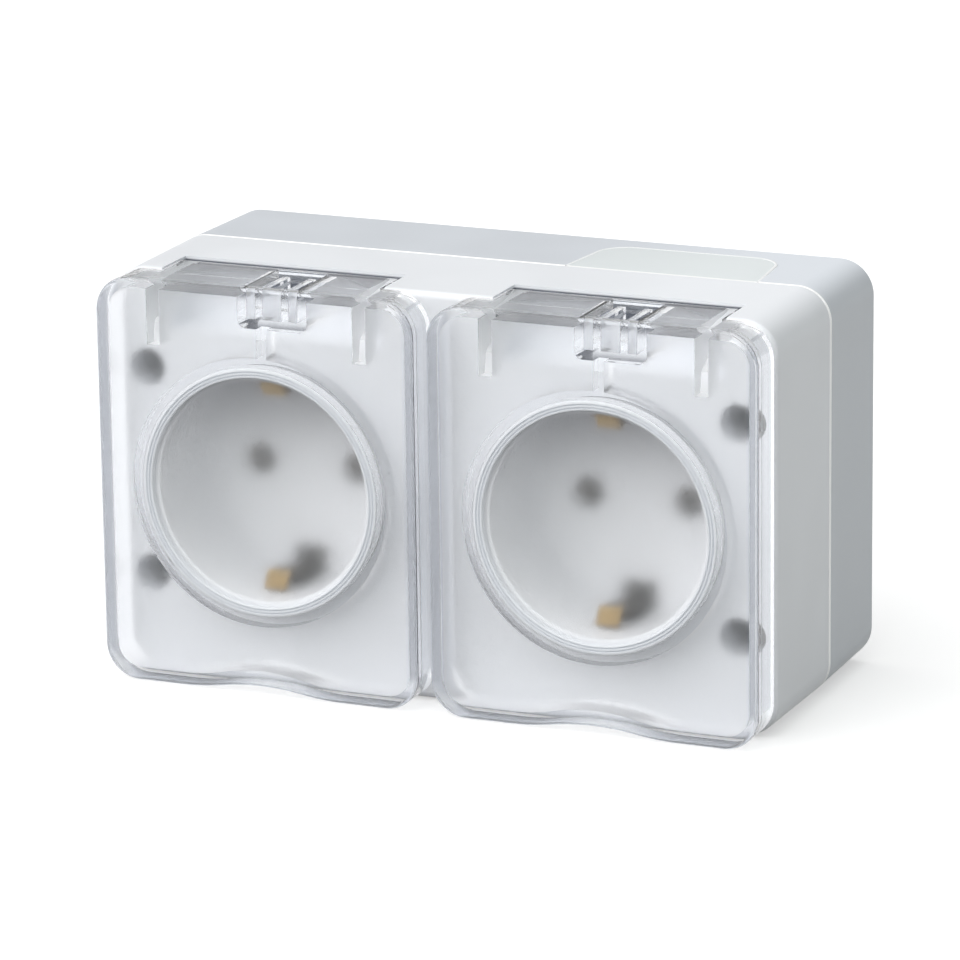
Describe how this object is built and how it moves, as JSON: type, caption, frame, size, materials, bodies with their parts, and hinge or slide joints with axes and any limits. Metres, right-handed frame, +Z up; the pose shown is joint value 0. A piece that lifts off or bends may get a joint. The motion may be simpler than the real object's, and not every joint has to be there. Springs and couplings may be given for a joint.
{
  "type": "double outdoor weatherproof socket",
  "caption": "Surface-mounted splash-proof double earthed socket: pale plastic box and cover with round cups behind clear top-hinged lids.",
  "frame": {"origin": "centre of the box's back face, which lies on the wall", "axes": "+Z up, +X along the width to the right seen from the front, front faces -Y"},
  "size_m": [0.1258, 0.0575, 0.0742],
  "materials": {
    "box_plastic": "fine spark-eroded texture, pale grey",
    "cover_plastic": "satin moulded, off-white",
    "clear_plastic": "clear polycarbonate, faintly frosted",
    "soft_seal": "milky soft plastic",
    "seal_rubber": "black foam rubber",
    "carrier_plastic": "dark thermoset, dull",
    "brass": "stamped brass strip",
    "steel": "zinc-plated steel"
  },
  "bodies": {
    "housing": {"rear_box": "box_plastic", "cable_entry_insert": "cover_plastic", "box_seal": "seal_rubber", "front_cover": "cover_plastic", "left_socket_cup": "cover_plastic", "right_socket_cup": "cover_plastic", "cover_screws": "steel", "contact_carrier": "carrier_plastic", "carrier_screws": "steel", "live_bar": "brass", "neutral_bar": "brass", "earth_bar": "brass", "left_earth_spring": "brass", "right_earth_spring": "brass", "terminal_screws": "steel", "left_live_contact": "brass", "left_neutral_contact": "brass", "right_live_contact": "brass", "right_neutral_contact": "brass", "live_terminal": "brass", "neutral_terminal": "brass", "earth_terminal": "brass"},
    "left_lid": {"left_lid": "clear_plastic", "left_lid_seal": "soft_seal"},
    "right_lid": {"right_lid": "clear_plastic", "right_lid_seal": "soft_seal"}
  },
  "joints": [
    {"name": "left_lid_hinge", "type": "hinge", "parent": "housing", "child": "left_lid", "pos_m": [-0.03175, -0.0421, 0.03435], "axis": [-1, 0, 0], "range_deg": [0, 95]},
    {"name": "right_lid_hinge", "type": "hinge", "parent": "housing", "child": "right_lid", "pos_m": [0.03175, -0.0421, 0.03435], "axis": [-1, 0, 0], "range_deg": [0, 95]}
  ]
}
